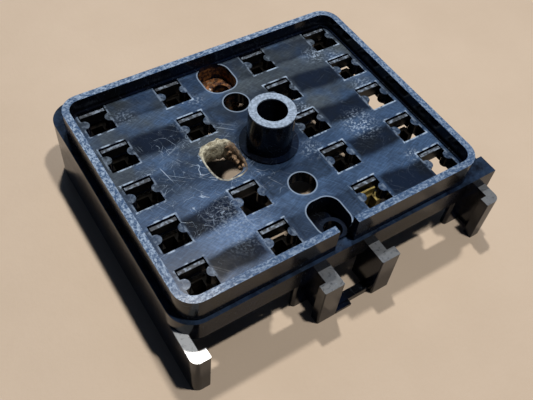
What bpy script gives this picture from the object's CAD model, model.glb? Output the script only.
"""Looks for the cartridge fuse holder: worn black nylon, a burnt cell, light, floor and camera."""

import math
import random

import bmesh
import bpy
from mathutils import Matrix, Vector, noise


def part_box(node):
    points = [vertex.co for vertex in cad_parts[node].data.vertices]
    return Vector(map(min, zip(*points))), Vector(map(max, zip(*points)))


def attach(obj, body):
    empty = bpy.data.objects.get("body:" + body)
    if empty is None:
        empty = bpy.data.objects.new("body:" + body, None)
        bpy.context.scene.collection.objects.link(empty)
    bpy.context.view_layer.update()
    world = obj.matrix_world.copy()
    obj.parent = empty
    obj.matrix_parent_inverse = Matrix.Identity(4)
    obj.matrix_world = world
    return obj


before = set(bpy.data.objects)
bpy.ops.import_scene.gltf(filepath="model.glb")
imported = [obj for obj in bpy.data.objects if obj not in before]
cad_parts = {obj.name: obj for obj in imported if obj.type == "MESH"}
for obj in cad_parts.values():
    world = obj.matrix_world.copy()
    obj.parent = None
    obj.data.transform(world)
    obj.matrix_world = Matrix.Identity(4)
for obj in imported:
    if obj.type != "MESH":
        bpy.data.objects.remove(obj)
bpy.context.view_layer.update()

MM = 0.001
HOUSING = "housing"
BRASS_CONTACT = "contact_c3r5"

# Heights in millimetres, read from the frame or set off from the plate
TUBE_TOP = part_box("terminal_tray")[1][2] / MM
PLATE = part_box("lock_finger_c1r1")[1][2] / MM + 0.05
RIM_TOP = PLATE + 4.0
FLANGE = PLATE - 3.3
BOSS_TOP = PLATE - 2.6
POST_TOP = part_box("centre_guide")[1][2] / MM
FASCIA = 6.5

# Places in millimetres
ROW_PITCH = 12.7
BAND_Y = -5.85
CELL_COLUMNS = (12.9, 33.5)
CELL_HALF = (3.5, 4.1)
HOLE = Vector((-12.6, 0.2))
HOLE_HALF = Vector((4.3, 5.75))
BACK_POCKET = (0.0, 25.4)
BACK_BOSS = (0.0, 23.2)
LEFT_POST = (-41.0, -37.0)
SCRATCHED = (-19, -2)
FRONT_LEFT_CORNER = (-37, -29)
MAIN_SCUFF = (24, -6)

# Hair-thin curved scratches: centre, radius, and the span in x where each shows
ARCS = (((-14, 2), 10.5, (-20, 6)), ((-15, 3), 12.2, (-27, 9)), ((-17, -1), 7.5, (-24, 4)),
        ((-12, -4), 15.0, (-24, 1)), ((-20, -16), 5.0, (-24, -12)), ((-16, -19), 6.5, (-23, -13)))

# Straight scratches: direction in degrees and noise seed
STRAIGHT = ((38, 1), (-25, 4), (62, 7), (48, 12), (80, 16))

# Swirling scratches: noise scale and seed
SWIRLS = ((0.13, 21), (0.21, 33), (0.17, 57), (0.26, 71), (0.31, 83))

# Smaller whitish scuffs on the plate: centre, radius and strength
SCUFFS = (((28, 21), 4.5, 0.8), ((29, -20.5), 3.0, 0.7), ((-19, -17), 11, 0.35),
          ((8, -7), 4.5, 0.55), ((-9, 21), 3.5, 0.5), ((-27, 24), 4.0, 0.4),
          ((33, 5.5), 4.5, 0.6), ((14, 6.0), 3.0, 0.7), ((33, 19), 3.5, 0.6))

# Openings of the middle column, which have a pale edge: centre, half size and corner radius
MIDDLE_OPENINGS = (((0, 25.4), (4.4, 5.1), 3.4), ((0, -25.4), (4.4, 5.1), 3.4),
                   ((0, 15.5), (3.3, 3.3), 3.3), ((0, -14.7), (3.3, 3.3), 3.3))

BLACK = (0.0035, 0.0040, 0.0055, 1)
NAVY = (0.0030, 0.0060, 0.017, 1)
HAZE = (0.080, 0.155, 0.310, 1)
GREY_HAZE = (0.105, 0.135, 0.165, 1)
PALE = (0.35, 0.45, 0.60, 1)
DUSTY = (0.62, 0.66, 0.70, 1)
DARK_RUST = (0.07, 0.028, 0.012, 1)
BRIGHT_RUST = (0.30, 0.13, 0.04, 1)
WARM_LAMP = (1.0, 0.95, 0.88)
COOL_SKY = (0.42, 0.64, 1.0)


class Graph:
    """Builds one material's nodes. Places and sizes are in millimetres of the part's own frame."""

    def __init__(self, name):
        self.material = bpy.data.materials.new(name)
        self.material.use_nodes = True
        self.tree = self.material.node_tree
        self.shader = self.tree.nodes["Principled BSDF"]
        place = self.add("ShaderNodeTexCoord").outputs["Object"]
        scaled = self.add("ShaderNodeVectorMath", [place], operation="SCALE", Scale=1 / MM)
        self.place = scaled.outputs[0]
        self.x, self.y, self.z = self.add("ShaderNodeSeparateXYZ", [self.place]).outputs
        normal = self.add("ShaderNodeNewGeometry").outputs["Normal"]
        self.up = self.add("ShaderNodeSeparateXYZ", [normal]).outputs[2]

    def feed(self, socket, value):
        """Links a node's output to a socket, or sets a plain value on it."""
        if isinstance(value, bpy.types.NodeSocket):
            self.tree.links.new(value, socket)
        else:
            socket.default_value = value

    def add(self, kind, inputs=(), operation=None, **named):
        """A new node, with its first inputs given in order and others by name."""
        node = self.tree.nodes.new(kind)
        if operation:
            node.operation = operation
        for socket, value in zip(node.inputs, inputs):
            self.feed(socket, value)
        for name, value in named.items():
            self.feed(node.inputs[name], value)
        return node

    def math(self, operation, *values):
        return self.add("ShaderNodeMath", values, operation).outputs[0]

    def product(self, first, *others):
        for other in others:
            first = self.math("MULTIPLY", first, other)
        return first

    def either(self, first, *others):
        for other in others:
            first = self.math("MAXIMUM", first, other)
        return first

    def smooth(self, value, low, high):
        """A soft step from 0 at low to 1 at high, which may be the smaller of the two."""
        node = self.add("ShaderNodeMapRange", [value, low, high, 0.0, 1.0])
        node.interpolation_type = "SMOOTHSTEP"
        return node.outputs[0]

    def window(self, value, low, high, soft):
        """1 between low and high, with soft ends outside them."""
        return self.product(self.smooth(value, low - soft, low), self.smooth(value, high + soft, high))

    def mapped(self, stretch=(1, 1, 1), turn=0.0, seed=0.0):
        """The place in millimetres, turned about Z, stretched, and moved by the seed."""
        turned = self.add("ShaderNodeMapping", [self.place], Rotation=(0, 0, math.radians(turn)))
        moved = self.add("ShaderNodeMapping", [turned.outputs[0]], Location=(seed, seed, 0),
                         Scale=stretch)
        return moved.outputs[0]

    def noise(self, scale, detail=3.0, distortion=0.0, **mapping):
        node = self.add("ShaderNodeTexNoise", Vector=self.mapped(**mapping), Scale=scale,
                        Detail=detail, Roughness=0.6, Distortion=distortion)
        return node.outputs[0]

    def speckle(self, scale, low, high, **mapping):
        """Irregular patches: a noise, cut between two levels."""
        return self.smooth(self.noise(scale, **mapping), low, high)

    def lines(self, scale, width, distortion=0.0, **mapping):
        """Thin curved lines, along the middle contour of a noise."""
        value = self.noise(scale, detail=1.0, distortion=distortion, **mapping)
        off = self.math("ABSOLUTE", self.math("SUBTRACT", value, 0.5))
        return self.smooth(off, width, 0.0)

    def distance(self, centre):
        """Distance from a point on the plate, whatever the height."""
        flat = self.add("ShaderNodeCombineXYZ", [self.x, self.y, 0.0]).outputs[0]
        point = (centre[0], centre[1], 0.0)
        return self.add("ShaderNodeVectorMath", [flat, point], "DISTANCE").outputs["Value"]

    def spot(self, centre, radius, inner=0.0):
        """A soft round spot: 1 within the inner radius and 0 past the outer one."""
        return self.smooth(self.distance(centre), radius, inner)

    def outline(self, centre, half, corner, width, soft=0.2):
        """A thin band along the outside of a rounded rectangle on the plate."""
        flat = self.add("ShaderNodeCombineXYZ", [self.x, self.y, 0.0]).outputs[0]
        point = (centre[0], centre[1], 0.0)
        moved = self.add("ShaderNodeVectorMath", [flat, point], "SUBTRACT").outputs[0]
        mirrored = self.add("ShaderNodeVectorMath", [moved], "ABSOLUTE").outputs[0]
        inner = (half[0] - corner, half[1] - corner, 0.0)
        past = self.add("ShaderNodeVectorMath", [mirrored, inner], "SUBTRACT").outputs[0]
        past = self.add("ShaderNodeVectorMath", [past, (0.0, 0.0, 0.0)], "MAXIMUM").outputs[0]
        away = self.add("ShaderNodeVectorMath", [past], "LENGTH").outputs["Value"]
        return self.window(away, corner - 0.1, corner + width, soft)

    def blend(self, amount, first, second):
        """Mixes two colours; the Mix node's colour sockets are inputs 6 and 7 and output 2."""
        node = self.tree.nodes.new("ShaderNodeMix")
        node.data_type = "RGBA"
        self.feed(node.inputs[0], amount)
        self.feed(node.inputs[6], first)
        self.feed(node.inputs[7], second)
        return node.outputs[2]

    def finish(self, colour, roughness, height=None, depth=0.05, **fixed):
        """Fills in the shader. The fixed values are constants on its own sockets."""
        self.feed(self.shader.inputs["Base Color"], colour)
        self.feed(self.shader.inputs["Roughness"], roughness)
        for name, value in fixed.items():
            self.shader.inputs[name.replace("_", " ")].default_value = value
        if height is not None:
            bump = self.add("ShaderNodeBump", Strength=1.0, Distance=depth * MM, Height=height)
            self.feed(self.shader.inputs["Normal"], bump.outputs["Normal"])
        return self.material


def scratches(g):
    """Hair-thin swirls, arcs and straight scratches, each broken into pieces."""
    result = g.product(g.lines(0.07, 0.0026, 1.6, seed=3), g.speckle(0.20, 0.50, 0.60, seed=8))
    for scale, seed in SWIRLS:
        swirl = g.lines(scale, 0.0035, 0.8, seed=seed)
        swirl = g.product(swirl, g.speckle(0.25, 0.52, 0.60, seed=seed + 5))
        result = g.either(result, g.product(swirl, 0.8))
    for centre, radius, span in ARCS:
        drift = g.product(g.math("SUBTRACT", g.noise(0.10, detail=3, seed=radius), 0.5), 9.0)
        away = g.math("ADD", g.distance(centre), drift)
        off = g.math("ABSOLUTE", g.math("SUBTRACT", away, radius))
        shown = g.product(g.window(g.x, span[0], span[1], 2.0), g.smooth(g.x, -13, -16))
        arc = g.product(g.smooth(off, 0.075, 0.0), shown)
        result = g.either(result, g.product(arc, g.speckle(0.3, 0.46, 0.58, seed=radius + 2), 0.75))
    for turn, seed in STRAIGHT:
        line = g.speckle(1.0, 0.69, 0.75, detail=0.5, stretch=(0.04, 5.5, 1), turn=turn, seed=seed)
        part = g.speckle(0.16, 0.52, 0.62, seed=seed + 30)
        result = g.either(result, g.product(line, part, 0.8))
    return result


def edge_wear(g, levels, depth=0.45):
    """Bevelled faces just below each level's top edge, broken up by noise."""
    slope = g.product(g.smooth(g.up, 0.12, 0.3), g.smooth(g.up, 0.995, 0.93))
    near = None
    for level in levels:
        here = g.window(g.z, level - depth, level + 0.02, 0.03)
        near = here if near is None else g.either(near, here)
    return g.product(slope, near)


def row_offset(g):
    """Distance in y from the middle of the nearest row of cells, with its sign."""
    repeat = g.math("FLOORED_MODULO", g.math("ADD", g.y, -BAND_Y), ROW_PITCH)
    return g.math("SUBTRACT", repeat, ROW_PITCH / 2)


def cell_distance(g):
    """Distance outside the nearest cell's rectangle, negative over the cell and its nibs."""
    across = g.math("ABSOLUTE", g.x)
    inner = g.math("ABSOLUTE", g.math("SUBTRACT", across, CELL_COLUMNS[0]))
    outer = g.math("ABSOLUTE", g.math("SUBTRACT", across, CELL_COLUMNS[1]))
    dx = g.math("SUBTRACT", g.math("MINIMUM", inner, outer), CELL_HALF[0])
    dy = g.math("SUBTRACT", g.math("ABSOLUTE", row_offset(g)), CELL_HALF[1])
    return g.either(dx, dy)


def plate_haze(g):
    """Lighter scuffed bands between the cell rows, and dark glossy patches that they leave."""
    turn = g.math("MULTIPLY", g.math("SUBTRACT", g.y, BAND_Y), 2 * math.pi / ROW_PITCH)
    wander = g.product(g.math("SUBTRACT", g.noise(0.05, detail=3, seed=41), 0.5), 3.0)
    band = g.smooth(g.math("COSINE", g.math("ADD", turn, wander)), -0.5, 0.5)
    across = g.math("ABSOLUTE", g.x)
    strip = g.either(g.window(across, 8.5, 17.0, 0.8), g.smooth(across, 29, 30.5),
                     g.smooth(across, 9.5, 7.0))
    back = g.smooth(g.y, 21, 25)
    middle_left = g.product(g.smooth(g.x, -12, -18), g.window(g.y, -7, 8, 3))
    band = g.either(band, g.product(strip, 0.50), g.product(back, 0.5), g.product(middle_left, 0.62))
    cloud = g.smooth(g.noise(0.09, detail=4, seed=2), 0.3, 0.7)
    front_left = g.product(g.spot((-21, -17.5), 13, 3), 0.55)
    strength = g.math("ADD", g.math("ADD", 0.42, g.product(cloud, 0.36)), front_left)
    shade = g.math("SUBTRACT", 1.0, g.product(g.spot((2, 2), 17, 7), 0.55))
    return g.math("ADD", g.product(band, strength, shade), 0.02)


def plate_marks(g, on_plate, colour):
    """Haze, cell-edge dust, worn nibs and scuffs over the plate, and the haze's share."""
    haze = g.product(on_plate, plate_haze(g))
    hairs = g.speckle(1.0, 0.42, 0.72, detail=2, stretch=(0.35, 6.0, 1), turn=55, seed=14)
    cross = g.speckle(1.0, 0.42, 0.72, detail=2, stretch=(0.35, 5.0, 1), turn=-20, seed=18)
    fine = g.math("ADD", 0.45, g.product(g.math("ADD", hairs, cross), 0.38))
    grey = g.product(g.speckle(0.07, 0.38, 0.62, seed=37), g.smooth(g.y, -8, 4))
    colour = g.blend(g.product(haze, fine), colour, g.blend(grey, HAZE, GREY_HAZE))

    away = cell_distance(g)
    dust = g.product(g.window(away, -0.1, 0.25, 0.3), g.speckle(0.55, 0.44, 0.57, detail=7, seed=61))
    ends = g.smooth(g.math("ABSOLUTE", row_offset(g)), CELL_HALF[1] - 0.5, CELL_HALF[1])
    dust = g.product(dust, g.math("ADD", 0.35, g.product(ends, 0.65)))
    for centre, half, corner in MIDDLE_OPENINGS:
        dust = g.either(dust, g.product(g.outline(centre, half, corner, 0.22), 0.55))
    nibs = g.product(g.smooth(away, -0.05, -0.3), g.speckle(0.9, 0.40, 0.65, detail=5, seed=63), 0.22)
    colour = g.blend(g.product(on_plate, g.either(g.product(dust, 0.85), nibs)), colour, PALE)

    scuff = g.product(g.spot(MAIN_SCUFF, 6.5), g.speckle(1.7, 0.49, 0.62, detail=7, seed=40))
    for centre, radius, share in SCUFFS:
        broken = g.speckle(1.7, 0.48, 0.63, detail=7, seed=radius * 3)
        scuff = g.either(scuff, g.product(g.spot(centre, radius), broken, share))
    return g.blend(g.product(on_plate, scuff, 0.85), colour, PALE), haze


def rim_wear(g, flat, colour):
    """Pale wear on the rim's top, strongest at the left, the back and the front left corner."""
    rim_top = g.product(flat, g.window(g.z, RIM_TOP - 0.2, RIM_TOP + 0.2, 0.1))
    along_x = g.speckle(2.0, 0.40, 0.66, detail=8, stretch=(0.7, 1.1, 1), seed=17)
    along_y = g.speckle(2.0, 0.40, 0.66, detail=8, stretch=(1.1, 0.7, 1), seed=27)
    on_ends = g.smooth(g.math("ABSOLUTE", g.y), 26, 30)
    on_sides = g.math("SUBTRACT", 1.0, on_ends)
    worn = g.either(g.product(along_x, on_ends), g.product(along_y, on_sides))
    side = g.either(g.smooth(g.x, -36, -39.5), g.smooth(g.y, 29, 31.5),
                    g.spot(FRONT_LEFT_CORNER, 9, 4), g.product(g.smooth(g.y, -28, -31), 0.45),
                    g.product(g.smooth(g.x, 36, 39), 0.55))
    colour = g.blend(g.product(rim_top, 0.5), colour, HAZE)
    share = g.math("ADD", 0.25, g.product(side, 0.60))
    return g.blend(g.product(rim_top, worn, share), colour, PALE)


def tray_marks(g, flat, colour, rough):
    """Everything that only the tray shows, from the plate to the rust in the back pocket."""
    on_plate = g.product(flat, g.window(g.z, PLATE - 0.15, PLATE + 0.15, 0.1))
    colour, haze = plate_marks(g, on_plate, colour)
    rough = g.math("ADD", rough, g.product(haze, 0.14))
    colour = rim_wear(g, flat, colour)

    flange = g.product(flat, g.window(g.z, FLANGE - 0.15, FLANGE + 0.15, 0.1),
                       g.speckle(0.3, 0.25, 0.7, seed=46))
    colour = g.blend(g.product(flange, 0.20), colour, HAZE)

    tube_top = g.smooth(g.z, TUBE_TOP - 0.5, TUBE_TOP - 0.2)
    mottle = g.product(g.speckle(1.6, 0.3, 0.68, detail=7, seed=19), 0.55)
    ring = g.product(tube_top, g.math("ADD", 0.42, mottle))
    colour = g.blend(ring, colour, PALE)

    below = g.smooth(g.z, PLATE - 0.6, PLATE - 1.2)
    rust = g.product(g.spot(BACK_POCKET, 7.4, 5.6), below, g.speckle(0.5, 0.36, 0.62, detail=6, seed=23))
    rusty = g.blend(g.speckle(1.3, 0.45, 0.6, detail=5, seed=25), DARK_RUST, BRIGHT_RUST)
    colour = g.blend(rust, colour, rusty)
    rough = g.either(rough, g.product(rust, 0.8), g.product(ring, 0.6))
    return colour, rough, on_plate


def nylon(name, levels, plate=False, pale_post=False):
    """Black moulded nylon with worn edges; the tray's plate is hazy and scratched."""
    g = Graph(name)
    flat = g.smooth(g.up, 0.93, 0.99)
    grain = g.noise(1.6, detail=5)
    colour = g.blend(g.speckle(0.12, 0.35, 0.65, seed=6), BLACK, NAVY)
    rough = g.math("ADD", 0.10, g.product(g.noise(0.35, detail=4, seed=9), 0.12))
    lines = scratches(g)
    if plate:
        colour, rough, on_plate = tray_marks(g, flat, colour, rough)
        share = g.math("ADD", 0.15, g.product(g.spot(SCRATCHED, 22, 9), 1.2))
        lines = g.product(lines, g.either(g.product(on_plate, share), 0.15))
    else:
        lines = g.product(lines, flat, 0.3)
    wear = g.product(edge_wear(g, levels), g.speckle(0.7, 0.26, 0.52, detail=6, seed=11))
    if pale_post:
        post = g.product(flat, g.window(g.z, POST_TOP - 0.3, POST_TOP + 0.3, 0.1))
        share = g.math("ADD", 0.22, g.product(g.spot(LEFT_POST, 9, 6), 0.75))
        dusty = g.product(post, share, g.speckle(0.9, 0.2, 0.5, detail=5, seed=29))
        colour = g.blend(dusty, colour, DUSTY)
    colour = g.blend(g.product(lines, 0.7), colour, PALE)
    colour = g.blend(g.product(wear, 0.9), colour, DUSTY)
    rough = g.either(rough, g.product(wear, 0.6))
    height = g.math("ADD", g.product(grain, 0.5), g.product(g.noise(0.25, detail=2, seed=31), 1.2))
    height = g.math("SUBTRACT", height, g.product(lines, 0.8))
    return g.finish(colour, rough, height, depth=0.014, Specular_IOR_Level=0.16 if plate else 0.24)


def finger_plastic():
    """Dark nylon bars whose tops are marked by the parts that were plugged in."""
    g = Graph("finger_plastic_worn")
    top = g.product(g.smooth(g.z, PLATE - 0.4, PLATE - 0.15), g.smooth(g.up, 0.3, 0.8))
    marks = g.speckle(0.9, 0.46, 0.62, detail=7, seed=44)
    colour = g.blend(g.product(top, g.math("ADD", 0.07, g.product(marks, 0.45))), BLACK, PALE)
    rough = g.math("ADD", 0.42, g.product(top, 0.1))
    return g.finish(colour, rough, g.noise(2.0, detail=5), depth=0.03, Specular_IOR_Level=0.3)


def rusted_steel():
    """Thick rust scale with a few pale crusts."""
    g = Graph("rusted_steel_scale")
    flake = g.speckle(0.9, 0.36, 0.62, detail=7, seed=50)
    colour = g.blend(flake, (0.035, 0.016, 0.009, 1), (0.26, 0.10, 0.03, 1))
    colour = g.blend(g.speckle(0.4, 0.58, 0.68, detail=6, seed=52), colour, (0.45, 0.32, 0.2, 1))
    return g.finish(colour, 0.85, flake, depth=0.2)


def contact_metal(name, dark, bright, shine, gloss):
    """Metal under a patchy film; shine is its metallic share and gloss its specular level."""
    g = Graph(name)
    film = g.speckle(0.8, 0.35, 0.65, detail=6, seed=60)
    rough = g.math("ADD", 0.35, g.product(film, 0.3))
    return g.finish(g.blend(film, dark, bright), rough, film, depth=0.03, Metallic=shine,
                    Specular_IOR_Level=gloss)


def charred():
    """Melted nylon round the burnt cell: foamed and pale at the back, brown and black at the right."""
    g = Graph("charred_nylon")
    foam = g.speckle(0.9, 0.30, 0.62, detail=7, seed=70)
    colour = g.blend(foam, (0.20, 0.17, 0.11, 1), (0.62, 0.60, 0.47, 1))
    burnt = g.product(g.smooth(g.x, -11.6, -9.2), g.smooth(g.y, 5.2, 3.2))
    soot = g.blend(g.speckle(0.7, 0.42, 0.60, detail=6, seed=74),
                   (0.012, 0.009, 0.008, 1), (0.16, 0.085, 0.04, 1))
    colour = g.blend(g.product(burnt, 0.9), colour, soot)
    deep = g.smooth(g.z, PLATE - 2.0, PLATE - 5.0)
    colour = g.blend(g.product(deep, 0.8), colour, (0.05, 0.035, 0.02, 1))
    rim = g.product(g.smooth(g.z, PLATE + 0.25, PLATE + 0.02), g.smooth(g.up, 0.6, 0.9))
    colour = g.blend(g.product(rim, 0.35), colour, HAZE)
    pits = g.noise(1.7, detail=7, seed=77)
    return g.finish(colour, 0.75, g.math("ADD", pits, g.product(foam, 0.6)), depth=0.35)


def shard_material(name, dark, light):
    """Matt broken flakes in two mixed colours."""
    g = Graph(name)
    tone = g.speckle(1.1, 0.36, 0.62, detail=6, seed=80)
    return g.finish(g.blend(tone, dark, light), 0.8, tone, depth=0.15)


def floor_material():
    """A plain pale floor with a faint change of tone."""
    g = Graph("pale_board")
    tone = g.noise(0.02, detail=6, seed=90)
    colour = g.blend(tone, (0.48, 0.385, 0.295, 1), (0.60, 0.495, 0.395, 1))
    return g.finish(colour, 0.9, g.noise(0.5, detail=5, seed=91), depth=0.1)


def worn_edges(obj, width):
    """Small rounded edges on a carried-over CAD node, with shading that follows them."""
    bevel = obj.modifiers.new("edges", "BEVEL")
    bevel.width = width * MM
    bevel.segments = 2
    bevel.limit_method = "ANGLE"
    bevel.angle_limit = math.radians(35)
    bevel.use_clamp_overlap = False
    for face in obj.data.polygons:
        face.use_smooth = True
    normals = obj.modifiers.new("normals", "WEIGHTED_NORMAL")
    normals.keep_sharp = False
    normals.weight = 100


def dress(node, material, bevel):
    """Gives a carried-over CAD node its material and its rounded edges, in millimetres."""
    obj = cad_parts[node]
    obj.data.materials.clear()
    obj.data.materials.append(material)
    worn_edges(obj, bevel)


def add_piece(name, mesh, material):
    """Adds a visible piece that moves with the housing."""
    mesh.materials.append(material)
    for face in mesh.polygons:
        face.use_smooth = True
    obj = bpy.data.objects.new(name, mesh)
    bpy.context.scene.collection.objects.link(obj)
    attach(obj, HOUSING)
    return obj


def hole_edge(angle, grow):
    """Point on the melted hole's outline, a rounded rectangle, grown outwards by grow."""
    power = 2 / 3.0
    c, s = math.cos(angle), math.sin(angle)
    half = HOLE_HALF + Vector((grow, grow))
    x = math.copysign(abs(c) ** power, c) * half.x
    y = math.copysign(abs(s) ** power, s) * half.y
    return HOLE + Vector((x, y))


def burnt_rim(material):
    """A melted lip that rolls over the hole's edge and sags down its wall."""
    around, lip = 144, 0.42
    # Distance outwards from the hole's edge and height over the plate, from outside to inside
    profile = [(1.25, -0.02), (0.9, 0.16), (0.5, 0.34), (0.1, 0.42), (-0.2, 0.30), (-0.42, -0.1),
               (-0.50, -0.8), (-0.52, -1.6), (-0.50, -2.5), (-0.35, -3.3), (0.1, -3.6)]
    verts, faces = [], []
    for i in range(around):
        angle = 2 * math.pi * i / around
        back = max(0.0, math.sin(angle + 0.2)) ** 0.8
        right = max(0.0, math.cos(angle - 0.2)) ** 2
        spread = 0.35 + 0.65 * back
        for j, (out, height) in enumerate(profile):
            point = hole_edge(angle, out)
            rag = noise.noise(Vector((point.x * 0.9, point.y * 0.9, j * 0.5)))
            fine = noise.noise(Vector((point.x * 2.7, point.y * 2.7, j * 1.3 + 5)))
            inside = j / (len(profile) - 1)
            grow = out + rag * 0.25 + fine * 0.18 * (0.4 + inside)
            grow = grow * spread - inside * (0.9 * back + 0.35 * right)
            point = hole_edge(angle, grow)
            rise = height * (1 + 0.5 * back if height < 0 else 0.3 + 1.1 * back + 0.5 * right)
            if 0 < j < len(profile) - 1:
                rise += lip * 0.5 * (rag + fine) * (0.4 + back + right)
            verts.append((point.x * MM, point.y * MM, (PLATE + rise) * MM))
    rows = len(profile)
    for i in range(around):
        k = (i + 1) % around
        for j in range(rows - 1):
            faces.append((i * rows + j, i * rows + j + 1, k * rows + j + 1, k * rows + j))
        faces.append((i * rows + rows - 1, i * rows, k * rows, k * rows + rows - 1))
    mesh = bpy.data.meshes.new("burnt_rim")
    mesh.from_pydata(verts, [], faces)
    obj = add_piece("burnt_rim", mesh, material)
    smooth = obj.modifiers.new("smooth", "SUBSURF")
    smooth.levels = 1
    smooth.render_levels = 1


def shards(name, places, material, seed):
    """Broken flakes: each is the hull of a few scattered points.

    A place is (x, y, z, length, width, turn), in millimetres and degrees.
    """
    rand = random.Random(seed)
    bm = bmesh.new()
    for x, y, z, length, width, turn in places:
        spin = Matrix.Rotation(math.radians(turn), 3, "Z")
        spin = spin @ Matrix.Rotation(rand.uniform(-0.5, 0.5), 3, "X")
        spin = spin @ Matrix.Rotation(rand.uniform(-0.4, 0.4), 3, "Y")
        points = []
        for _ in range(12):
            d = Vector((rand.uniform(-1, 1), rand.uniform(-1, 1), rand.uniform(-1, 1))).normalized()
            d = spin @ Vector((d.x * length / 2, d.y * width / 2, d.z * width * 0.35))
            points.append(bm.verts.new((Vector((x, y, z)) + d) * MM))
        result = bmesh.ops.convex_hull(bm, input=points)
        inside = result["geom_interior"] + result["geom_unused"]
        spare = {vert for vert in inside if isinstance(vert, bmesh.types.BMVert)}
        bmesh.ops.delete(bm, geom=list(spare), context="VERTS")
    bmesh.ops.recalc_face_normals(bm, faces=bm.faces)
    mesh = bpy.data.meshes.new(name)
    bm.to_mesh(mesh)
    bm.free()
    obj = add_piece(name, mesh, material)
    for face in mesh.polygons:
        face.use_smooth = False
    bevel = obj.modifiers.new("edges", "BEVEL")
    bevel.width = 0.05 * MM
    bevel.segments = 1


def boss_debris(material):
    """Broken, whitish crust on the left and front of the back pocket's boss."""
    places = []
    for step in range(9):
        angle = math.radians(150 + step * 17)
        reach = 2.9 + 0.25 * math.sin(step * 2.3)
        x = BACK_BOSS[0] + reach * math.cos(angle)
        y = BACK_BOSS[1] + reach * math.sin(angle)
        z = BOSS_TOP + 0.15 + 0.2 * (step % 3)
        places.append((x, y, z, 1.5 - 0.06 * step, 0.8, math.degrees(angle) + 90))
    shards("pocket_debris", places, material, 11)


def hole_flakes(material):
    """Charred flakes that hang on the melted hole's right wall."""
    places = []
    for step in range(11):
        y = HOLE.y - 3.6 + step * 0.72
        x = HOLE.x + HOLE_HALF.x - 0.9 - 0.55 * math.sin(step * 1.7) ** 2
        z = PLATE - 0.3 - 0.55 * ((step * 2) % 5)
        length = 2.3 + 0.5 * math.sin(step * 2.9)
        places.append((x, y, z, length, 1.2, 60 + 35 * math.sin(step * 1.3)))
    shards("burnt_flakes", places, material, 5)


def light(name, place, target, size, power, colour, depth=None):
    """An area light, square unless a depth is given. Places and sizes are in metres."""
    data = bpy.data.lights.new(name, "AREA")
    data.energy = power
    data.color = colour
    data.size = size
    if depth:
        data.shape = "RECTANGLE"
        data.size_y = depth
    obj = bpy.data.objects.new(name, data)
    obj.location = place
    obj.rotation_mode = "QUATERNION"
    obj.rotation_quaternion = (Vector(target) - Vector(place)).to_track_quat("-Z", "Y")
    bpy.context.scene.collection.objects.link(obj)


def lights():
    """Two small lamps, a broad cool softbox behind the part, and a dim blue surround."""
    world = bpy.data.worlds.new("studio")
    bpy.context.scene.world = world
    world.use_nodes = True
    background = world.node_tree.nodes["Background"]
    background.inputs["Color"].default_value = (0.45, 0.62, 1.0, 1)
    background.inputs["Strength"].default_value = 0.035
    centre = (0, 0, 0.02)
    light("lamp_back", (0.10, 0.22, 0.70), centre, 0.035, 3.2, WARM_LAMP)
    light("lamp_front", (0.10, -0.14, 0.70), centre, 0.035, 3.0, WARM_LAMP)
    light("softbox", (0.26, 0.42, 0.62), (-0.02, -0.01, 0.02), 0.60, 0.55, COOL_SKY, 0.42)


def camera():
    """The camera fitted to the photograph's viewpoint. Places are in metres."""
    place = Vector((-0.06745, -0.08749, 0.14420))
    target = Vector((-0.01006, -0.01473, PLATE * MM))
    roll = math.radians(7.22)
    data = bpy.data.cameras.new("camera")
    data.sensor_width = 36
    data.lens = 45.26
    obj = bpy.data.objects.new("camera", data)
    turn = (target - place).to_track_quat("-Z", "Y").to_matrix() @ Matrix.Rotation(roll, 3, "Z")
    obj.matrix_world = Matrix.Translation(place) @ turn.to_4x4()
    bpy.context.scene.collection.objects.link(obj)
    bpy.context.scene.camera = obj
    bpy.context.scene.view_settings.view_transform = "Standard"


def floor():
    """A square floor at ground level, 3 m across."""
    half = 1.5
    corners = [(-half, -half, 0), (half, -half, 0), (half, half, 0), (-half, half, 0)]
    mesh = bpy.data.meshes.new("floor")
    mesh.from_pydata(corners, [], [(0, 1, 2, 3)])
    mesh.materials.append(floor_material())
    obj = bpy.data.objects.new("floor", mesh)
    bpy.context.scene.collection.objects.link(obj)


def dress_frame():
    """Materials and rounded edges for every carried-over CAD node."""
    tray = nylon("tray_nylon", (PLATE, RIM_TOP, TUBE_TOP, FLANGE, BOSS_TOP), plate=True)
    lower = nylon("frame_nylon", (POST_TOP, FLANGE - FASCIA), pale_post=True)
    finger = finger_plastic()
    tarnished = contact_metal("contact_tarnish", (0.0012, 0.0012, 0.0012, 1),
                              (0.005, 0.004, 0.003, 1), 0.0, 0.03)
    brass = contact_metal("contact_dull_brass", (0.10, 0.075, 0.02, 1),
                          (0.30, 0.24, 0.08, 1), 0.6, 0.4)
    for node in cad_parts:
        if node == "terminal_tray":
            dress(node, tray, 0.26)
        elif node in ("base_frame", "centre_guide", "corner_guide"):
            dress(node, lower, 0.22)
        elif node == "keyhole_insert":
            dress(node, rusted_steel(), 0.15)
        elif node.startswith("lock_finger"):
            dress(node, finger, 0.14)
        else:
            dress(node, brass if node == BRASS_CONTACT else tarnished, 0.1)


def damage():
    """The melted cell's lip and flakes, and the crust in the back pocket."""
    burnt_rim(charred())
    hole_flakes(shard_material("char_flake", (0.02, 0.012, 0.008, 1), (0.34, 0.22, 0.13, 1)))
    boss_debris(shard_material("crust", (0.10, 0.06, 0.035, 1), (0.55, 0.48, 0.42, 1)))


dress_frame()
damage()
floor()
lights()
camera()
